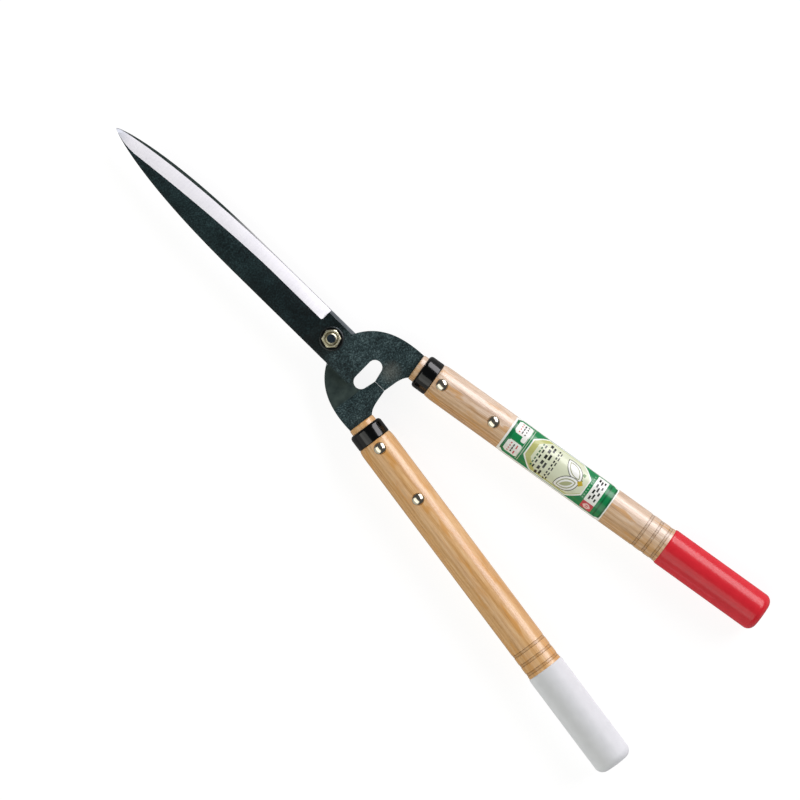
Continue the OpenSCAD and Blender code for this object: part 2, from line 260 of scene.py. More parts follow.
def ground_steel():
    """Wheel-ground bevel: bright bare steel with hair-fine lines square to the edge."""
    made, tree, place = finish_named("ground_bevel_steel")
    stretched = add(tree, "ShaderNodeMapping", {"Vector": place, "Scale": (14 * MM, 0.4 * MM, 14 * MM)},
                    vector_type="TEXTURE")
    lines = add(tree, "ShaderNodeTexNoise", {"Vector": stretched, "Scale": 1.0, "Detail": 3.0})
    patch = add(tree, "ShaderNodeTexNoise", {"Vector": place, "Scale": 1 / (20 * MM), "Detail": 2.0})
    tone = add(tree, "ShaderNodeMix", {0: 0.5, 2: lines, 3: patch}, data_type="FLOAT")
    bright = add(tree, "ShaderNodeValToRGB", {"Fac": tone}, stops=[(0.3, "#ecebf2"), (0.7, "#fafafd")])
    along = (add(tree, "ShaderNodeSeparateXYZ", {"Vector": place}), "Y")
    at_tip = add(tree, "ShaderNodeMapRange", {
        "Value": along, "From Min": pivot.y + 196 * MM, "From Max": pivot.y + 206 * MM})
    colour = add(tree, "ShaderNodeMix", {0: at_tip, 6: bright, 7: "#c6cad2"}, data_type="RGBA")
    rough = add(tree, "ShaderNodeMapRange", {"Value": lines, "To Min": 0.5, "To Max": 0.64})
    relief = add(tree, "ShaderNodeBump", {"Strength": 0.12, "Distance": 0.02 * MM, "Height": lines})
    surface(tree, {"Base Color": (colour, 2), "Metallic": 0.25, "Roughness": rough, "Normal": relief})
    return made


def inner_face_steel(name, edge_side):
    """Inner face: ground bright along the cutting edge and at the heel, bare by the bolt, else black."""
    made, tree, place = finish_named(name)
    here = add(tree, "ShaderNodeMapping", {"Vector": place, "Location": pivot, "Scale": (MM, MM, MM)},
               vector_type="TEXTURE")
    parts = add(tree, "ShaderNodeSeparateXYZ", {"Vector": here})
    along = (parts, "Y")
    bare = add(tree, "ShaderNodeMath", {0: along, 1: 2.0, 2: 12.6}, operation="COMPARE")
    above = add(tree, "ShaderNodeMath", {0: along, 1: 14.6}, operation="GREATER_THAN")
    ground = add(tree, "ShaderNodeMapRange", {
        "Value": along, "From Min": 112, "From Max": 84})
    to_edge = add(tree, "ShaderNodeMapRange", {
        "Value": (parts, "X"), "From Min": -3.5 * edge_side, "From Max": -1.0 * edge_side})
    wide = add(tree, "ShaderNodeMath", {0: ground, 1: to_edge}, operation="MAXIMUM")
    rubbed = add(tree, "ShaderNodeMath", {0: above, 1: wide}, operation="MULTIPLY")
    at_tip = add(tree, "ShaderNodeMapRange", {"Value": along, "From Min": 203.5, "From Max": 206})
    cloud = add(tree, "ShaderNodeTexNoise", {"Vector": here, "Scale": 1 / 5, "Detail": 3.0})
    black = add(tree, "ShaderNodeValToRGB", {"Fac": cloud}, stops=[(0.3, "#2c3b3a"), (0.7, "#44534f")])
    bright = add(tree, "ShaderNodeValToRGB", {"Fac": cloud}, stops=[(0.3, "#98a1a6"), (0.7, "#bbc3c8")])
    pad = add(tree, "ShaderNodeMix", {0: bare, 6: black, 7: bright}, data_type="RGBA")
    face = add(tree, "ShaderNodeMix", {0: rubbed, 6: (pad, 2), 7: "#f2f2f6"}, data_type="RGBA")
    colour = add(tree, "ShaderNodeMix", {0: at_tip, 6: (face, 2), 7: "#b2b6bc"}, data_type="RGBA")
    relief = add(tree, "ShaderNodeBump", {"Strength": 0.05, "Distance": 0.05 * MM, "Height": cloud})
    surface(tree, {"Base Color": (colour, 2), "Metallic": 0.5, "Roughness": 0.42, "Normal": relief})
    return made


def worn_and_highlit_edge_steel():
    """Sheared edges, the black rubbed thin by hand and sheath, and painted lighter still as a painted
    highlight.
    """
    made, tree, place = finish_named("worn_and_highlit_edge_steel")
    wear = add(tree, "ShaderNodeTexNoise", {"Vector": place, "Scale": 1 / (3 * MM), "Detail": 4.0})
    # the lighter stops are a painted highlight on top of the real wear
    colour = add(tree, "ShaderNodeValToRGB", {"Fac": wear}, stops=[
        (0.35, "#2a3232"), (0.55, "#5f6a69"), (0.75, "#a0a8a6")])
    surface(tree, {"Base Color": colour, "Metallic": 0.6, "Roughness": 0.36})
    return made


def lacquered_oak(side, tones, far_side_tones):
    """Turned oak under lacquer: straight fine grain, open pores, a long broad gloss, a painted sheen
    paling the lit side.
    """
    made, tree, place = finish_named("lacquered_oak_" + side)
    foot = HANDLE[side].translation
    across = HANDLE[side].to_3x3().col[0]
    lean = (0, 0, math.atan2(across.y, across.x))
    axis = {"Vector": place, "Location": foot, "Rotation": lean}
    # how far each pattern is stretched across and along the handle, in mm
    here, fine, hair, wide, broad = (
        add(tree, "ShaderNodeMapping", {**axis, "Scale": (width * MM, length * MM, width * MM)},
            vector_type="TEXTURE")
        for width, length in ((1, 1), (0.55, 17), (0.3, 5), (3.4, 60), (4.5, 24)))
    # the log's pith lies 31 mm to one side of the handle's axis and 22 mm under it
    heart_line = foot - (across * 31 + UP * 22) * MM
    log = add(tree, "ShaderNodeMapping", {**axis, "Location": heart_line, "Scale": (MM, 16 * MM, MM)},
              vector_type="TEXTURE")
    # growth rings 2.7 mm apart: a wave of scale 0.314 repeats every unit
    rings = add(tree, "ShaderNodeTexWave", {
        "Vector": log, "Scale": 0.314 / 2.7, "Distortion": 9.0, "Detail": 3.0, "Detail Scale": 0.6},
        wave_type="RINGS", rings_direction="Y")
    fibre = add(tree, "ShaderNodeTexNoise", {
        "Vector": fine, "Scale": 1.0, "Detail": 4.0, "Roughness": 0.6})
    pores = add(tree, "ShaderNodeTexNoise", {"Vector": hair, "Scale": 1.0, "Detail": 1.0})
    bands = add(tree, "ShaderNodeTexNoise", {"Vector": wide, "Scale": 1.0, "Detail": 3.0})
    figure = add(tree, "ShaderNodeTexNoise", {
        "Vector": broad, "Scale": 1.0, "Detail": 3.0, "Distortion": 0.6})
    body = add(tree, "ShaderNodeMix", {0: 0.3, 2: fibre, 3: bands}, data_type="FLOAT")
    grain = add(tree, "ShaderNodeMix", {0: 0.13, 2: body, 3: (rings, "Fac")}, data_type="FLOAT")
    lit_side_ramp = add(tree, "ShaderNodeValToRGB", {"Fac": grain}, stops=[
        (0.34, tones[0]), (0.45, tones[1]), (0.56, tones[2]), (0.7, tones[3])])
    far_side_ramp = add(tree, "ShaderNodeValToRGB", {"Fac": grain}, stops=[
        (0.34, far_side_tones[0]), (0.45, far_side_tones[1]), (0.56, far_side_tones[2]), (0.7, far_side_tones[3])])
    parts = add(tree, "ShaderNodeSeparateXYZ", {"Vector": here})
    # painted sheen: the wood pales towards +X, the key light's side, wandering with the figure
    wander = add(tree, "ShaderNodeMath", {0: figure, 1: 14.0, 2: (parts, "X")}, operation="MULTIPLY_ADD")
    painted_lit_side = add(tree, "ShaderNodeMapRange", {"Value": wander, "From Min": 1.5, "From Max": 10.5},
              interpolation_type="SMOOTHSTEP")
    base = (add(tree, "ShaderNodeMix", {0: painted_lit_side, 6: far_side_ramp, 7: lit_side_ramp}, data_type="RGBA"), 2)
    stain = add(tree, "ShaderNodeMapRange", {
        "Value": figure, "From Min": 0.54, "From Max": 0.64, "To Max": 0.62})
    warm = add(tree, "ShaderNodeMix", {0: stain, 6: base, 7: tones[4]}, data_type="RGBA")
    open_pore = add(tree, "ShaderNodeMapRange", {
        "Value": pores, "From Min": 0.6, "From Max": 0.7, "To Max": 0.3})
    pored = add(tree, "ShaderNodeMix", {0: open_pore, 6: (warm, 2), 7: tones[5]}, data_type="RGBA")
    # painted shade: the wood in the tool cuts is darkened, the more the deeper it lies
    flat = add(tree, "ShaderNodeCombineXYZ", {"X": (parts, "X"), "Z": (parts, "Z")})
    radius = (add(tree, "ShaderNodeVectorMath", {0: flat}, operation="LENGTH"), "Value")
    cut_depth_shade = add(tree, "ShaderNodeMapRange", {
        "Value": radius, "From Min": WOOD_R - 0.1, "From Max": WOOD_R - 0.4, "To Max": 0.5})
    far = add(tree, "ShaderNodeMath", {0: (parts, "Y"), 1: -CUTS_FROM}, operation="LESS_THAN")
    painted_cut_shade = add(tree, "ShaderNodeMath", {0: cut_depth_shade, 1: far}, operation="MULTIPLY")
    colour = add(tree, "ShaderNodeMix", {0: painted_cut_shade, 6: (pored, 2), 7: "#4f3317"}, data_type="RGBA")
    relief = add(tree, "ShaderNodeBump", {"Strength": 0.12, "Distance": 0.05 * MM, "Height": fibre})
    surface(tree, {
        "Base Color": (colour, 2), "Roughness": 0.55, "Specular IOR Level": 0.15, "Normal": relief,
        "Coat Weight": 1.0, "Coat Roughness": 0.26, "Coat IOR": 1.62})
    return made


def black_enamel():
    """Stoved black enamel on the steel ferrule: jet black and wet-looking, with faint orange peel."""
    made, tree, place = finish_named("black_enamel")
    peel = add(tree, "ShaderNodeTexNoise", {"Vector": place, "Scale": 1 / (2.5 * MM), "Detail": 2.0})
    colour = add(tree, "ShaderNodeValToRGB", {"Fac": peel}, stops=[(0.3, "#010202"), (0.7, "#050707")])
    relief = add(tree, "ShaderNodeBump", {"Strength": 0.06, "Distance": 0.05 * MM, "Height": peel})
    surface(tree, {"Base Color": colour, "Roughness": 0.14, "IOR": 1.5, "Normal": relief})
    return made


def dipped_vinyl(name, tones, roughness, sheen):
    """Vinyl skin dipped over the wood: even soft colour, a faintly wavy surface, one long highlight."""
    made, tree, place = finish_named(name)
    flow = add(tree, "ShaderNodeTexNoise", {"Vector": place, "Scale": 1 / (7 * MM), "Detail": 3.0})
    speck = add(tree, "ShaderNodeTexNoise", {"Vector": place, "Scale": 1 / (0.9 * MM), "Detail": 2.0})
    colour = add(tree, "ShaderNodeValToRGB", {"Fac": flow}, stops=[(0.3, tones[0]), (0.7, tones[1])])
    rough = add(tree, "ShaderNodeMapRange", {
        "Value": speck, "To Min": roughness - 0.05, "To Max": roughness + 0.05})
    relief = add(tree, "ShaderNodeBump", {"Strength": 0.12, "Distance": 0.2 * MM, "Height": flow})
    surface(tree, {"Base Color": colour, "Roughness": rough, "IOR": sheen, "Normal": relief})
    return made


def nickel_plate():
    """Bright nickel on the rivet domes: a warm mirror with faint polishing haze."""
    made, tree, place = finish_named("nickel_plate")
    haze = add(tree, "ShaderNodeTexNoise", {"Vector": place, "Scale": 1 / (0.8 * MM), "Detail": 3.0})
    colour = add(tree, "ShaderNodeValToRGB", {"Fac": haze}, stops=[(0.3, "#e2dac4"), (0.7, "#efe8d6")])
    rough = add(tree, "ShaderNodeMapRange", {"Value": haze, "To Min": 0.1, "To Max": 0.24})
    surface(tree, {"Base Color": colour, "Metallic": 1.0, "Roughness": rough})
    return made


def zinc_plate():
    """Yellow-passivated zinc on the nut: pale olive metal, a little cloudy, a painted shade round the
    thread.
    """
    made, tree, place = finish_named("zinc_plate")
    here = add(tree, "ShaderNodeMapping", {"Vector": place, "Location": pivot, "Scale": (MM, MM, MM)},
               vector_type="TEXTURE")
    level = add(tree, "ShaderNodeVectorMath", {0: here, 1: (1, 1, 0)}, operation="MULTIPLY")
    radius = (add(tree, "ShaderNodeVectorMath", {0: level}, operation="LENGTH"), "Value")
    # painted shade: a dark ring round the thread, in the nut's countersink
    thread_shade = add(tree, "ShaderNodeMath", {0: radius, 1: 4.6, 2: 0.3}, operation="COMPARE")
    haze = add(tree, "ShaderNodeTexNoise", {"Vector": place, "Scale": 1 / (1.3 * MM), "Detail": 3.0})
    colour = add(tree, "ShaderNodeValToRGB", {"Fac": haze}, stops=[
        (0.3, "#c2bb97"), (0.5, "#dad5b8"), (0.7, "#ebe7d8")])
    thread_shaded = add(tree, "ShaderNodeMix", {0: thread_shade, 6: colour, 7: "#857b5a"}, data_type="RGBA")
    rough = add(tree, "ShaderNodeMapRange", {"Value": haze, "To Min": 0.32, "To Max": 0.5})
    relief = add(tree, "ShaderNodeBump", {"Strength": 0.05, "Distance": 0.03 * MM, "Height": haze})
    surface(tree, {"Base Color": (thread_shaded, 2), "Metallic": 1.0, "Roughness": rough, "Normal": relief})
    return made


def black_oxide(name, dark, light):
    """Black oxide on the washer and the bolt: near-black with a low oily sheen."""
    made, tree, place = finish_named(name)
    haze = add(tree, "ShaderNodeTexNoise", {"Vector": place, "Scale": 1 / (0.9 * MM), "Detail": 3.0})
    colour = add(tree, "ShaderNodeValToRGB", {"Fac": haze}, stops=[(0.3, dark), (0.7, light)])
    rough = add(tree, "ShaderNodeMapRange", {"Value": haze, "To Min": 0.24, "To Max": 0.42})
    relief = add(tree, "ShaderNodeBump", {"Strength": 0.08, "Distance": 0.03 * MM, "Height": haze})
    surface(tree, {"Base Color": colour, "Metallic": 0.6, "Roughness": rough, "Normal": relief})
    return made


# the print: (ink, centre along, centre across, half length, half width, corner cut), in mm from the
# film's middle
GREEN, WHITE, INK, RED, GOLD = "#13824a", "#eef0ea", "#20241f", "#c9464e", "#c2a93a"
PRINT = [
    (GREEN, 0.3, 0.8, 42.5, 16.6, 3.5),
    ("#0d6f40", -41.0, 0.8, 1.2, 14.0, 0.0),
    (WHITE, -34.3, 9.2, 5.9, 5.6, 1.6),
    (WHITE, -34.3, -7.2, 5.9, 5.2, 1.6),
    (WHITE, -31.0, 2.4, 1.8, 2.4, 0.8),
    ("#b9c6b4", -28.0, 0.8, 1.0, 14.5, 0.0),
    (GREEN, -28.0, 0.8, 0.5, 14.5, 0.0),
    (WHITE, -1.2, 0.8, 24.6, 15.9, 9.4),
    ("#b9bc74", -1.2, 0.8, 23.6, 14.9, 9.0),
    ("#d8dec2", 1.0, 1.2, 21.6, 13.6, 8.2),
    (WHITE, 30.9, 4.2, 4.5, 11.6, 0.6),
    (RED, 30.9, -10.8, 4.4, 3.6, 0.6),
    ("#f0c9c4", 30.9, -10.8, 3.0, 2.4, 2.0),
    ("#0c6238", 40.0, 0.8, 2.6, 15.0, 0.0),
    (GREEN, 40.0, 0.8, 1.5, 15.0, 0.0),
]
# rows of plain dashes in place of words: (ink, along, first across, last across, how many, half sizes)
DASHES = [
    (RED, -36.8, 5.6, 12.8, 4, (0.5, 0.55)),
    (INK, -34.6, 6.4, 12.0, 3, (0.5, 1.1)),
    (INK, -32.2, 5.6, 12.8, 4, (0.5, 0.6)),
    (RED, -36.8, -10.6, -4.0, 4, (0.5, 0.55)),
    (INK, -34.4, -9.6, -4.8, 3, (0.5, 1.0)),
    (RED, -32.0, -9.6, -4.8, 2, (0.5, 1.4)),
    ("#3f6b45", -17.6, -9.0, 8.4, 7, (0.55, 0.9)),
    (INK, -15.6, -8.6, 8.0, 5, (0.6, 1.3)),
    (INK, -11.9, -12.0, 11.2, 6, (1.0, 1.5)),
    (INK, -9.2, -10.4, 9.6, 4, (0.8, 2.1)),
    (INK, -5.2, -12.6, 11.2, 9, (0.55, 0.9)),
    (INK, -3.4, -11.2, 9.8, 6, (0.45, 1.3)),
    ("#6c8f55", 17.6, 2.0, 7.0, 2, (1.2, 1.2)),
    ("#7fb28c", 24.8, -6.0, 12.0, 9, (0.5, 0.5)),
    (INK, 29.0, -3.4, 11.8, 4, (0.7, 1.5)),
    (INK, 31.0, -1.6, 10.4, 3, (0.6, 1.9)),
    (INK, 33.2, -3.4, 11.8, 4, (0.6, 1.2)),
    (RED, 30.9, -11.6, -10.0, 2, (1.0, 0.4)),
]
# leaves of the plain sprig: (ink, tip-to-tip angle, centre along, across, half length, half width)
LEAVES = [
    (INK, 35, 10.4, 6.0, 9.6, 5.0),
    (WHITE, 35, 10.4, 6.0, 9.0, 4.5),
    ("#8f9468", 35, 10.4, 6.0, 7.0, 3.2),
    (WHITE, 35, 10.4, 6.0, 6.2, 2.6),
    (INK, -40, 10.0, -5.4, 9.8, 5.6),
    (WHITE, -40, 10.0, -5.4, 9.2, 5.1),
    ("#8f9468", -40, 10.0, -5.4, 7.2, 3.7),
    (WHITE, -40, 10.0, -5.4, 6.4, 3.0),
    ("#a9ae7e", -40, 10.0, -5.4, 5.0, 1.6),
]


def printed_film(length, wrap):
    """Gloss printed film: green ground, white keylines, a cream badge, dashes and a sprig of leaves."""
    made, tree, _ = finish_named("printed_film")
    print_map = add(tree, "ShaderNodeUVMap", uv_map="UVMap")
    spot = add(tree, "ShaderNodeMapping", {
        "Vector": print_map, "Location": (-length / 2, -wrap / 2, 0), "Scale": (-wrap, length, 1),
        "Rotation": (0, 0, -math.radians(90))})
    place = add(tree, "ShaderNodeSeparateXYZ", {"Vector": spot})
    layer = WHITE

    def lay(colour, mask):
        """Prints a colour over what is there already."""
        nonlocal layer
        layer = (add(tree, "ShaderNodeMix", {0: mask, 6: layer, 7: colour}, data_type="RGBA"), 2)

    def box(along, across, half_length, half_width, cut=0.0):
        """The mask of a rectangle, its corners cut off if asked."""
        in_length = add(tree, "ShaderNodeMath", {0: (place, "X"), 1: along, 2: half_length},
                        operation="COMPARE")
        in_width = add(tree, "ShaderNodeMath", {0: (place, "Y"), 1: across, 2: half_width},
                       operation="COMPARE")
        inside = add(tree, "ShaderNodeMath", {0: in_length, 1: in_width}, operation="MULTIPLY")
        if not cut:
            return inside
        off_length = add(tree, "ShaderNodeMath", {0: (place, "X"), 1: along}, operation="SUBTRACT")
        off_width = add(tree, "ShaderNodeMath", {0: (place, "Y"), 1: across}, operation="SUBTRACT")
        far_length = add(tree, "ShaderNodeMath", {0: off_length}, operation="ABSOLUTE")
        far_width = add(tree, "ShaderNodeMath", {0: off_width}, operation="ABSOLUTE")
        slant = add(tree, "ShaderNodeMath", {0: far_length, 1: far_width}, operation="ADD")
        limit = half_length + half_width - cut
        kept = add(tree, "ShaderNodeMath", {0: slant, 1: limit}, operation="LESS_THAN")
        return add(tree, "ShaderNodeMath", {0: inside, 1: kept}, operation="MULTIPLY")

    for colour, *patch in PRINT:
        lay(colour, box(*patch))
    for colour, along, first, last, count, half in DASHES:
        pitch = (last - first) / (count - 1)
        row = box(along, (first + last) / 2, half[0], (last - first) / 2 + half[1])
        past = add(tree, "ShaderNodeMath", {0: (place, "Y"), 1: first}, operation="SUBTRACT")
        folded = add(tree, "ShaderNodeMath", {0: past, 1: pitch / 2}, operation="PINGPONG")
        dash = add(tree, "ShaderNodeMath", {0: folded, 1: half[1]}, operation="LESS_THAN")
        lay(colour, add(tree, "ShaderNodeMath", {0: row, 1: dash}, operation="MULTIPLY"))
    for colour, angle, along, across, half_length, half_width in LEAVES:
        ball = (half_length**2 + half_width**2) / (2 * half_width)
        offset = add(tree, "ShaderNodeVectorMath", {0: spot, 1: (along, across, 0)}, operation="SUBTRACT")
        turned = add(tree, "ShaderNodeVectorRotate", {"Vector": offset, "Angle": math.radians(angle)},
                     rotation_type="Z_AXIS")
        folded = add(tree, "ShaderNodeVectorMath", {0: turned}, operation="ABSOLUTE")
        raised = add(tree, "ShaderNodeVectorMath", {0: folded, 1: (0, ball - half_width, 0)},
                     operation="ADD")
        distance = (add(tree, "ShaderNodeVectorMath", {0: raised}, operation="LENGTH"), "Value")
        lay(colour, add(tree, "ShaderNodeMath", {0: distance, 1: ball}, operation="LESS_THAN"))
    lay(GOLD, box(18.2, 0.4, 2.4, 2.4, 2.4))
    surface(tree, {"Base Color": layer, "Roughness": 0.22, "IOR": 1.5})
    return made


# ------------------------------------------------------------------ sizes, mm
EDGE_ROUND = 0.3  # easing on the plates' edges
HEEL = 14.0  # from the bolt to where the ground bevel starts
SNUG = 0.05  # air between two nested pieces
STEP = 0.01  # two rings this far apart make a square step
NOSE_R = 9.9  # wood in the ferrule's mouth
NOSE_ROUND = 1.2
SEAT_R = 10.9  # wood under the ferrule
LIP_THICK = 1.15  # the ferrule's front wall
WOOD_R = reach("left_handle", "left")[2]
CORE_R = 12.7  # wood under the grip
CORE_CHAMFER = 4.0
BODY_ROUND = 6.5  # shoulder behind the ferrule
CUTS_FROM = 245.0  # the tool cuts, and the shade painted in them, lie further down the handle than this
CUTS_BEFORE_GRIP = (18.9, 11.0, 3.4)  # middles of the pairs of tool cuts
CUT_APART = 0.95  # from a pair's middle to each cut
CUT_HALF = 0.3
CUT_DEPTH = 0.42
SUNK = 0.22  # how far the bead between two cuts lies under the surface
RIVET_R = 4.25
SHANK_R = 2.0
RIVET_SEAT = 12.4  # from the handle's axis to the flat under a rivet's head
RIVET_RISE = {"dome": 2.0, "back": 1.2}
RIVET_GAP = 0.12  # air round a rivet's head
BESIDE_RIVET = (-4.8, -2.4, 0, 2.4, 4.8)  # rings that keep the faces round a seat short
PAST_WOOD = 20.0  # further from the axis than any wood
GRIP_CORNER = 6.0
WASHER_BORE = 4.3
BOLT_R = 4.0
HEAD_RISE = 2.8
NUT_EDGE = 0.4
FILM_THICK = 0.2
FILM_CLIP = 3.5  # cut off each corner of the label
FILM_WRAP = math.radians(172)

# ------------------------------------------------------------------ finishes, made once
GROUND, INNER, WORN_HIGHLIT_EDGE = 1, 2, 3  # places in a plate's row of finishes, after its black
BLACK_STEEL = blackened_steel()
GROUND_STEEL = ground_steel()
INNER_STEEL = {
    "front_blade": inner_face_steel("front_inner_steel", 1),
    "rear_blade": inner_face_steel("rear_inner_steel", -1),
}
EDGE_WEAR_AND_HIGHLIGHT = worn_and_highlit_edge_steel()
# each side: the paler lit-side tones (a painted sheen), stain and pore; then the far side's tones
OAK = {
    "left": lacquered_oak(
        "left", ("#c28f55", "#d6a66e", "#e2b681", "#eecb9c", "#d3943f", "#9a6e3c"),
        ("#bb8445", "#d09d5d", "#dcac6f", "#e8bd88")),
    "right": lacquered_oak(
        "right", ("#b4957b", "#d3b79d", "#e3ccb5", "#efdccb", "#cd9444", "#9a7858"),
        ("#a77b4d", "#c69a69", "#d5ae81", "#e4c59f")),
}
ENAMEL = black_enamel()
GRIP_SKIN = {
    "left": dipped_vinyl("white_dipped_vinyl", ("#d8dadd", "#dddfe2"), 0.5, 1.4),
    "right": dipped_vinyl("red_dipped_vinyl", ("#cd2430", "#d62a35"), 0.22, 1.42),
}
NICKEL = nickel_plate()
ZINC = zinc_plate()
WASHER_BLACK = black_oxide("black_oxide_washer", "#060708", "#101314")
# the washer's rim: black oxide painted lighter, a painted highlight
WASHER_RIM_HIGHLIGHT = black_oxide("painted_highlight_washer_rim", "#262b2c", "#454b4c")
BOLT_BLACK = black_oxide("black_oxide_bolt", "#1c2630", "#3a4854")


# ------------------------------------------------------------------ blades
def blade(node, name, body, outward):
    """One plate: its edges eased, and its black, ground and inner surfaces told apart."""
    piece = copy_of(node, name)
    # the eased edges take the edge finish: real wear with a painted highlight
    modify(piece, "BEVEL", width=EDGE_ROUND * MM, segments=2, limit_method="ANGLE",
           angle_limit=math.radians(32), material=WORN_HIGHLIT_EDGE)
    finishes = (BLACK_STEEL, GROUND_STEEL, INNER_STEEL[node], EDGE_WEAR_AND_HIGHLIGHT)
    finish_piece(piece, 16, finishes, body, "blade_steel", node)
    sliver = 0.1 * MM**2
    for face in piece.data.polygons:
        rise = face.normal.z * outward
        in_middle_plane = abs(face.center.z - pivot.z) < 0.3 * MM
        leans_to_edge = 0.7 < rise < 0.985 and face.normal.x * outward > 0.1
        past_heel = face.center.y > pivot.y + HEEL * MM
        if rise < -0.9 and in_middle_plane:
            face.material_index = INNER
        elif leans_to_edge and past_heel and face.area > sliver:
            face.material_index = GROUND


blade("front_blade", "front_blade_plate", "right_half", 1)
blade("rear_blade", "rear_blade_plate", "left_half", -1)


# ------------------------------------------------------------------ handles
def round_up(start, low, high, length, steps=8):
    """Rings that rise from one radius to another on a quarter of an ellipse."""
    angles = [math.radians(90 * i / steps) for i in range(steps + 1)]
    return [(start + length * (1 - math.cos(a)), low + (high - low) * math.sin(a)) for a in angles]


def cut_rings(middle):
    """A pair of fine tool cuts with a sunk bead between them."""
    rings = []
    for centre, before, after in ((-CUT_APART, 0, SUNK), (CUT_APART, SUNK, 0)):
        rings += [
            (middle + centre - CUT_HALF, WOOD_R - before),
            (middle + centre - CUT_HALF / 3, WOOD_R - CUT_DEPTH),
            (middle + centre + CUT_HALF / 3, WOOD_R - CUT_DEPTH),
            (middle + centre + CUT_HALF, WOOD_R - after),
        ]
    return rings


def wooden_handle(side):
    """Turned oak: a nose and a seat for the ferrule, a round shoulder, tool cuts, and a core to dip."""
    start, end, _ = reach(side + "_handle", side)
    ferrule_start, ferrule_end, _ = reach(side + "_ferrule", side)
    grip_start = reach(side + "_grip", side)[0]
    seat_start = ferrule_start + LIP_THICK + SNUG
    rings = round_up(start, NOSE_R - NOSE_ROUND, NOSE_R, NOSE_ROUND)
    rings += [(seat_start, NOSE_R), (seat_start + STEP, SEAT_R), (ferrule_end, SEAT_R)]
    rings += round_up(ferrule_end + SNUG, WOOD_R - 1, WOOD_R, BODY_ROUND)
    for which in RIVETS:
        low, high, _ = reach(f"{side}_rivet_{which}", side)
        beside = [(low + high) / 2 + step for step in BESIDE_RIVET]
        rings += [(spot, WOOD_R) for spot in beside if spot > rings[-1][0] + 0.4]
    for before in CUTS_BEFORE_GRIP:
        rings += cut_rings(grip_start - before)
    rings += [(grip_start + 0.2, WOOD_R), (grip_start + 0.4, CORE_R)]
    rings += [(end - CORE_CHAMFER, CORE_R), (end, CORE_R - CORE_CHAMFER)]
    piece = turn(side + "_oak_handle", rings)
    settle(piece, HANDLE[side])
    seat_r = RIVET_R + RIVET_GAP
    for which in RIVETS:
        for quarter in (-90, 90):
            seat = turn("rivet_seat", [(RIVET_SEAT, seat_r), (PAST_WOOD, seat_r)], segments=64)
            settle(seat, rivet_place(side, which) @ Matrix.Rotation(math.radians(quarter), 4, "X"))
            modify(piece, "BOOLEAN", operation="DIFFERENCE", object=seat, solver="EXACT")
            bpy.data.objects.remove(seat)
    # the cuts leave doubled points and slivers
    make_active(piece)
    bpy.ops.object.mode_set(mode="EDIT")
    bpy.ops.mesh.select_all(action="SELECT")
    bpy.ops.mesh.remove_doubles(threshold=0.01 * MM)
    bpy.ops.mesh.dissolve_degenerate(threshold=0.01 * MM)
    bpy.ops.object.mode_set(mode="OBJECT")
    finish_piece(piece, 30, [OAK[side]], side + "_half", "oak", side + "_handle")


def rivet_place(side, which):
    """A rivet's own frame: its middle on the handle's axis."""
    low, high, _ = reach(f"{side}_rivet_{which}", side)
    return HANDLE[side] @ Matrix.Translation((0, 0, (low + high) / 2 * MM))


def rivet(side, which):
    """A through rivet: a domed head on top, a flatter one behind, and the shank between them."""
    node = f"{side}_rivet_{which}"
    halves = []
    for rise in (RIVET_RISE["back"], RIVET_RISE["dome"]):
        ball = (RIVET_R**2 + rise**2) / (2 * rise)
        rim = math.degrees(math.acos(RIVET_R / ball))
        cap = arc((RIVET_SEAT + 0.15 + rise - ball, 0), ball, rim, 89.3, 14)
        halves.append([(RIVET_SEAT + 0.02, SHANK_R), (RIVET_SEAT + 0.02 + STEP, RIVET_R)] + cap)
    back, dome = halves
    rings = [(-along, radius) for along, radius in reversed(back)] + dome
    piece = turn(node + "_nickel", rings, segments=64)
    settle(piece, rivet_place(side, which) @ Matrix.Rotation(math.radians(-90), 4, "X"))
    finish_piece(piece, 40, [NICKEL], side + "_half", "nickel", node)


def ferrule(side):
    """A drawn steel cup with a rolled front lip and a softened back rim."""
    start, end, radius = reach(side + "_ferrule", side)
    lip, rim = 2.6, 0.75
    bore = SEAT_R + SNUG
    lip_back = start + LIP_THICK
    rings = [(lip_back, bore), (lip_back, NOSE_R + 0.06)]
    rings += round_up(start, NOSE_R + 0.3, radius, lip, 10)
    rings += arc((end - rim, radius - rim), rim, 0, 85, 6)
    rings += [(end, bore), (lip_back, bore)]
    piece = turn(side + "_ferrule_cup", rings, hollow=True)
    settle(piece, HANDLE[side])
    finish_piece(piece, 40, [ENAMEL], side + "_half", "black_enamel", side + "_ferrule")


def grip(side):
    """Dipped skin: a thin soft front lip, and a full round corner at the end."""
    start, end, radius = reach(side + "_grip", side)
    lip, lip_length = 0.6, 1.6
    rings = [(start, CORE_R + SNUG), (start, radius - lip)]
    rings += round_up(start, radius - lip, radius, lip_length, 6)
    rings += arc((end - GRIP_CORNER, radius - GRIP_CORNER), GRIP_CORNER, 0, 88, 18)
    rings += [(end, 2.0), (end, 0.2)]
    piece = turn(side + "_dipped_grip", rings, segments=128)
    settle(piece, HANDLE[side])
    slot = {"left": "white_dip", "right": "red_dip"}[side]
    finish_piece(piece, 50, [GRIP_SKIN[side]], side + "_half", slot, side + "_grip")


for side in SIDES:
    wooden_handle(side)
    ferrule(side)
    grip(side)
    for which in RIVETS:
        rivet(side, which)


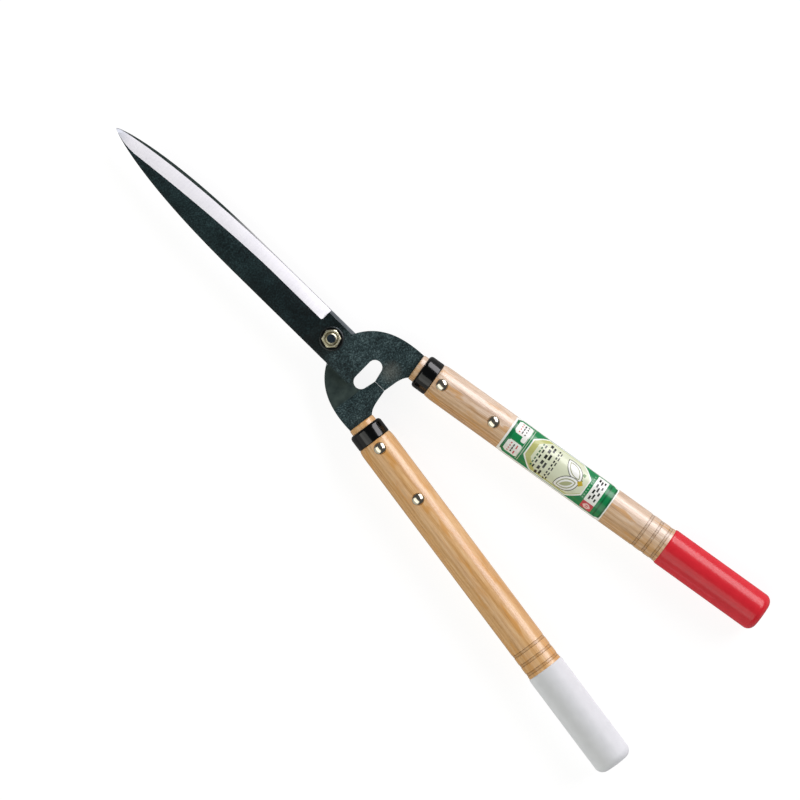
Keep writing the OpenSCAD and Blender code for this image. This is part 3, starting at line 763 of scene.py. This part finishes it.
# ------------------------------------------------------------------ bolt, washer and nut
def washer():
    """A plate washer, rounded over on top, its rounded rim painted a little lighter as a painted
    highlight.
    """
    low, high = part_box("pivot_washer")
    radius = (high.x - low.x) / 2 / MM
    thick = (high.z - low.z) / MM
    rings = [(0, WASHER_BORE), (0, radius - 0.25), (0.2, radius), (thick - 0.7, radius)]
    rings += arc((thick - 0.75, radius - 1.0), 0.75, 20, 90, 5)
    rings += [(thick, WASHER_BORE + 0.2), (thick - 0.2, WASHER_BORE), (0, WASHER_BORE)]
    piece = turn("black_plate_washer", rings, hollow=True)
    settle(piece, Matrix.Translation((pivot.x, pivot.y, low.z)))
    finish_piece(piece, 40, [WASHER_BLACK, WASHER_RIM_HIGHLIGHT], "left_half", "black_steel", "pivot_washer")
    # painted highlight: the rim's sloping faces take the lighter black
    for face in piece.data.polygons:
        if 0.3 < face.normal.z < 0.97:
            face.material_index = 1


def nut():
    """The hexagon nut, its edges eased."""
    piece = copy_of("pivot_nut", "hexagon_nut")
    modify(piece, "BEVEL", width=NUT_EDGE * MM, segments=3, limit_method="ANGLE",
           angle_limit=math.radians(25))
    finish_piece(piece, 25, [ZINC], "left_half", "zinc", "pivot_nut")


def bolt():
    """A domed head at the back, a plain shank, and a chamfered end rubbed bright on its rim."""
    low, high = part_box("pivot_bolt")
    bottom, top = (low.z - pivot.z) / MM, (high.z - pivot.z) / MM
    head = (high.x - low.x) / 2 / MM
    ball = (head**2 + HEAD_RISE**2) / (2 * HEAD_RISE)
    rim = math.degrees(math.acos(head / ball))
    under_head = bottom + HEAD_RISE + 0.8
    rings = arc((bottom + ball, 0), ball, -89.5, -rim, 16)
    rings += [(under_head - 0.05, head), (under_head, BOLT_R)]
    rings += [(top - 0.75, BOLT_R), (top - 0.12, BOLT_R - 0.8), (top, BOLT_R - 0.95)]
    piece = turn("pivot_bolt_turned", rings)
    settle(piece, Matrix.Translation(pivot))
    finish_piece(piece, 30, [BOLT_BLACK, ZINC], "left_half", "zinc", "pivot_bolt")
    for face in piece.data.polygons:
        if 0.1 < face.normal.z < 0.95 and face.center.z > high.z - 0.8 * MM:
            face.material_index = 1


washer()
nut()
bolt()


# ------------------------------------------------------------------ label
def label():
    """A film with clipped corners, bent round the top half of the right handle."""
    start, end, radius = reach("label", "right")
    wrap = FILM_WRAP * radius
    length = end - start
    bpy.ops.object.select_all(action="DESELECT")
    bpy.ops.mesh.primitive_grid_add(x_subdivisions=72, y_subdivisions=8, size=1, calc_uvs=True)
    piece = bpy.context.object
    piece.name = "printed_label"
    piece.scale = (wrap * MM, length * MM, 1)
    piece.rotation_euler.x = math.radians(90)
    bpy.ops.object.transform_apply()
    bpy.ops.object.mode_set(mode="EDIT")
    for x_way in (-1, 1):
        for z_way in (-1, 1):
            bpy.ops.mesh.select_all(action="SELECT")
            bpy.ops.mesh.bisect(
                plane_co=(x_way * (wrap / 2 - FILM_CLIP) * MM, 0, z_way * length / 2 * MM),
                plane_no=(x_way, 0, z_way), clear_outer=True)
    bpy.ops.object.mode_set(mode="OBJECT")
    modify(piece, "SOLIDIFY", thickness=FILM_THICK * MM, offset=1)
    modify(piece, "SIMPLE_DEFORM", deform_method="BEND", deform_axis="Z", angle=-FILM_WRAP)
    settle(piece, Matrix.Translation((0, radius * MM, 0)))
    settle(piece, HANDLE["right"] @ Matrix.Translation((0, 0, (start + end) / 2 * MM)))
    finish_piece(piece, 40, [printed_film(length, wrap)], "right_half", "label_film", "label")


label()

# ------------------------------------------------------------------ floor, light and camera
VIEW_SPAN = 0.556  # metres across the frame
VIEW_TURN = -45.55
VIEW_CENTRE = pivot + Vector((3.0, -63.7, 0)) * MM
CAMERA_HEIGHT = 3.6
SENSOR_WIDTH = 36  # mm
ROOM_LIGHT = 0.08


def light_table():
    """A white floor that glows, so that shadows on it are faint.

    Its glow is turned down for glossy rays, which no real floor does, so that the tool's glossy
    parts mirror a dark room."""
    bpy.ops.object.select_all(action="DESELECT")
    bpy.ops.mesh.primitive_plane_add(size=9, location=(0, 0, cad_box[0].z - 0.2 * MM))
    floor = bpy.context.object
    floor.name = "light_table"
    made, tree, place = finish_named("lit_white_acrylic")
    cloud = add(tree, "ShaderNodeTexNoise", {"Vector": place, "Scale": 1 / 0.09, "Detail": 2.0})
    colour = add(tree, "ShaderNodeValToRGB", {"Fac": cloud}, stops=[(0.3, "#7c7c7c"), (0.7, "#808080")])
    mirrored = (add(tree, "ShaderNodeLightPath"), "Is Glossy Ray")
    glow = add(tree, "ShaderNodeMapRange", {"Value": mirrored, "To Min": 0.87, "To Max": 0.1})
    surface(tree, {
        "Base Color": colour, "Roughness": 0.9, "Specular IOR Level": 0.1,
        "Emission Color": "#ffffff", "Emission Strength": glow})
    floor.data.materials.append(made)


def softbox(name, azimuth, from_zenith, roll, distance, width, length, radiance, tint):
    """An area light that faces the middle of the tool, its long side level before the roll."""
    around, tilt = math.radians(azimuth), math.radians(from_zenith)
    out = math.sin(tilt)
    towards = Vector((out * math.cos(around), out * math.sin(around), math.cos(tilt)))
    level = Vector((-math.sin(around), math.cos(around), 0))
    bpy.ops.object.light_add(type="AREA")
    lamp = bpy.context.object
    lamp.name = name
    lamp.data.shape = "RECTANGLE"
    lamp.data.size = length
    lamp.data.size_y = width
    lamp.data.energy = radiance * math.pi * width * length
    lamp.data.color = linear(tint)[:3]
    axes = Matrix((level, towards.cross(level), towards)).transposed().to_4x4()
    lean = Matrix.Rotation(math.radians(roll), 4, "Z")
    lamp.matrix_world = Matrix.Translation(towards * distance) @ axes @ lean


light_table()
softbox("key_softbox", 0, 63, -30, 4.0, 2.2, 4.9, 5.8, "#fcf9fd")
softbox("fill_softbox", 176, 36, 0, 2.6, 2.0, 4.8, 1.3, "#fbfbf4")
softbox("low_fill", 176, 64, 0, 2.6, 2.6, 4.8, 0.45, "#fbfbf4")
world = bpy.data.worlds.new("studio")
bpy.context.scene.world = world
world.use_nodes = True
world.node_tree.nodes["Background"].inputs["Color"].default_value = linear("#f2f2f6")
world.node_tree.nodes["Background"].inputs["Strength"].default_value = ROOM_LIGHT

bpy.ops.object.select_all(action="DESELECT")
bpy.ops.object.camera_add(
    location=VIEW_CENTRE + UP * CAMERA_HEIGHT, rotation=(0, 0, math.radians(VIEW_TURN)))
camera = bpy.context.object
camera.data.sensor_width = SENSOR_WIDTH
camera.data.lens = SENSOR_WIDTH * CAMERA_HEIGHT / VIEW_SPAN
camera.data.clip_end = 50
bpy.context.scene.camera = camera
bpy.context.scene.view_settings.view_transform = "Standard"
